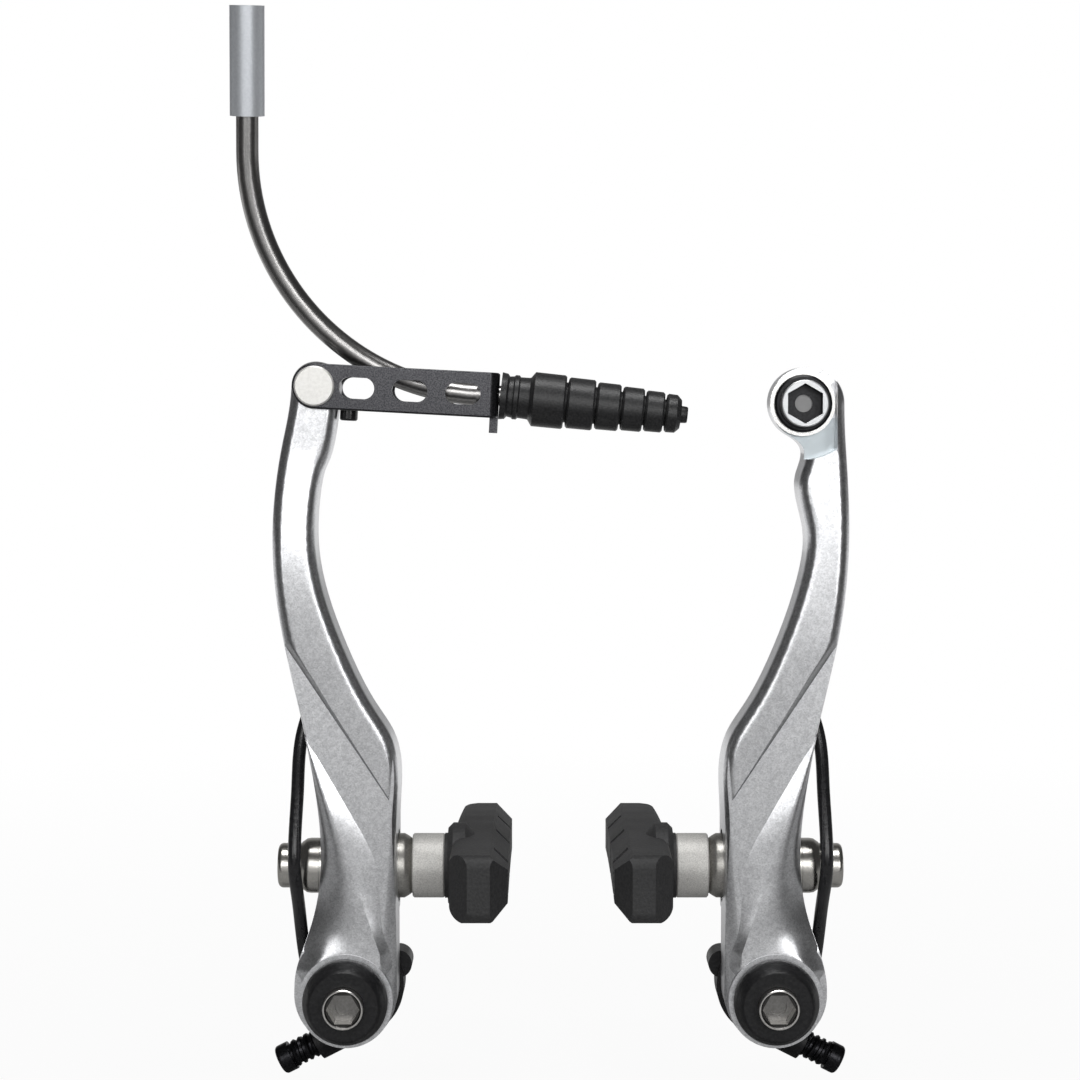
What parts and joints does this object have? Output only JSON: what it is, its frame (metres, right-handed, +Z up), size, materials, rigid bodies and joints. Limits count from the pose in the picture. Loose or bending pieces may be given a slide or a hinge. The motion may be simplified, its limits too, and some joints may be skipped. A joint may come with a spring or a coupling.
{
  "type": "linear-pull bicycle brake",
  "caption": "Linear-pull bicycle rim brake: tall sculpted arms on sprung pivots carry long shoes, a cable link with a curved lead pipe and boot, and a cable anchor.",
  "frame": {"origin": "midway between the two boss axes, in the plane of the boss shoulders", "axes": "+X across the wheel to the viewer's right, +Y along the bosses into the frame, +Z up the fork"},
  "size_m": [0.1078, 0.07, 0.1881],
  "materials": {
    "arm_silver": "silver metallic paint with a fine speckle",
    "bright_steel": "polished steel",
    "link_dark": "speckled charcoal plating",
    "pipe_dark": "dark satin steel",
    "ferrule_grey": "light grey satin",
    "spacer_grey": "bead-blasted light grey",
    "black_steel": "glossy black oxide",
    "black_plastic": "matt black",
    "sleeve_black": "glossy black",
    "liner_white": "natural",
    "shoe_rubber": "matt black",
    "boot_rubber": "matt black",
    "pin_pale": "pale plated"
  },
  "bodies": {
    "boss_hardware": {"left_pivot_bushing": "bright_steel", "left_fixing_bolt": "bright_steel", "left_bolt_cap": "black_plastic", "left_spring_holder": "black_plastic", "left_stop_pin": "bright_steel", "left_return_spring": "bright_steel", "left_spring_sleeve": "sleeve_black", "right_pivot_bushing": "bright_steel", "right_fixing_bolt": "bright_steel", "right_bolt_cap": "black_plastic", "right_spring_holder": "black_plastic", "right_stop_pin": "bright_steel", "right_return_spring": "bright_steel", "right_spring_sleeve": "sleeve_black"},
    "left_brake_arm": {"left_arm": "arm_silver", "left_spring_hook": "bright_steel", "left_inner_ball_washer": "bright_steel", "left_outer_ball_washer": "bright_steel", "link_pin": "pin_pale"},
    "left_shoe": {"left_brake_pad": "shoe_rubber", "left_shoe_stud": "bright_steel", "left_cup_spacer": "spacer_grey", "left_outer_cup_washer": "bright_steel", "left_shoe_nut": "bright_steel"},
    "left_tension": {"left_tension_screw": "black_steel"},
    "right_brake_arm": {"right_arm": "arm_silver", "right_spring_hook": "bright_steel", "right_inner_ball_washer": "bright_steel", "right_outer_ball_washer": "bright_steel", "anchor_washer": "bright_steel", "anchor_bolt": "black_steel"},
    "right_shoe": {"right_brake_pad": "shoe_rubber", "right_shoe_stud": "bright_steel", "right_cup_spacer": "spacer_grey", "right_outer_cup_washer": "bright_steel", "right_shoe_nut": "bright_steel"},
    "right_tension": {"right_tension_screw": "black_steel"},
    "link": {"cable_link": "link_dark", "link_stop": "black_plastic"},
    "lead": {"lead_pipe": "pipe_dark", "lead_liner": "liner_white", "lead_ferrule": "ferrule_grey", "cable_boot": "boot_rubber"}
  },
  "joints": [
    {"name": "left_arm_pivot", "type": "hinge", "parent": "boss_hardware", "child": "left_brake_arm", "pos_m": [-0.0375, -0.0142, 0], "axis": [0, -1, 0], "range_deg": [-3.2, 28], "stiffness_Nm_per_rad": 0.6, "deforming": ["left_return_spring", "left_spring_sleeve"]},
    {"name": "left_shoe_toe", "type": "hinge", "parent": "left_brake_arm", "child": "left_shoe", "pos_m": [-0.03038, -0.009, 0.0219], "axis": [0, 0, 1], "range_deg": [-4, 4]},
    {"name": "left_tension_turn", "type": "hinge", "parent": "boss_hardware", "child": "left_tension", "pos_m": [-0.039, -0.0042, -0.0087], "axis": [-0.891, 0, -0.454], "continuous": true},
    {"name": "right_arm_pivot", "type": "hinge", "parent": "boss_hardware", "child": "right_brake_arm", "pos_m": [0.0375, -0.0142, 0], "axis": [0, 1, 0], "range_deg": [-3.2, 28], "stiffness_Nm_per_rad": 0.6, "deforming": ["right_return_spring", "right_spring_sleeve"]},
    {"name": "right_shoe_toe", "type": "hinge", "parent": "right_brake_arm", "child": "right_shoe", "pos_m": [0.03038, -0.009, 0.0219], "axis": [0, 0, 1], "range_deg": [-4, 4]},
    {"name": "right_tension_turn", "type": "hinge", "parent": "boss_hardware", "child": "right_tension", "pos_m": [0.039, -0.0042, -0.0087], "axis": [0.891, 0, -0.454], "continuous": true},
    {"name": "link_swing", "type": "hinge", "parent": "left_brake_arm", "child": "link", "pos_m": [-0.04238, -0.0164, 0.107], "axis": [0, -1, 0], "range_deg": [0, 95]},
    {"name": "lead_swivel", "type": "hinge", "parent": "link", "child": "lead", "pos_m": [-0.04238, -0.0164, 0.107], "axis": [0.9986, 0, -0.0523], "range_deg": [-27, 9]}
  ]
}
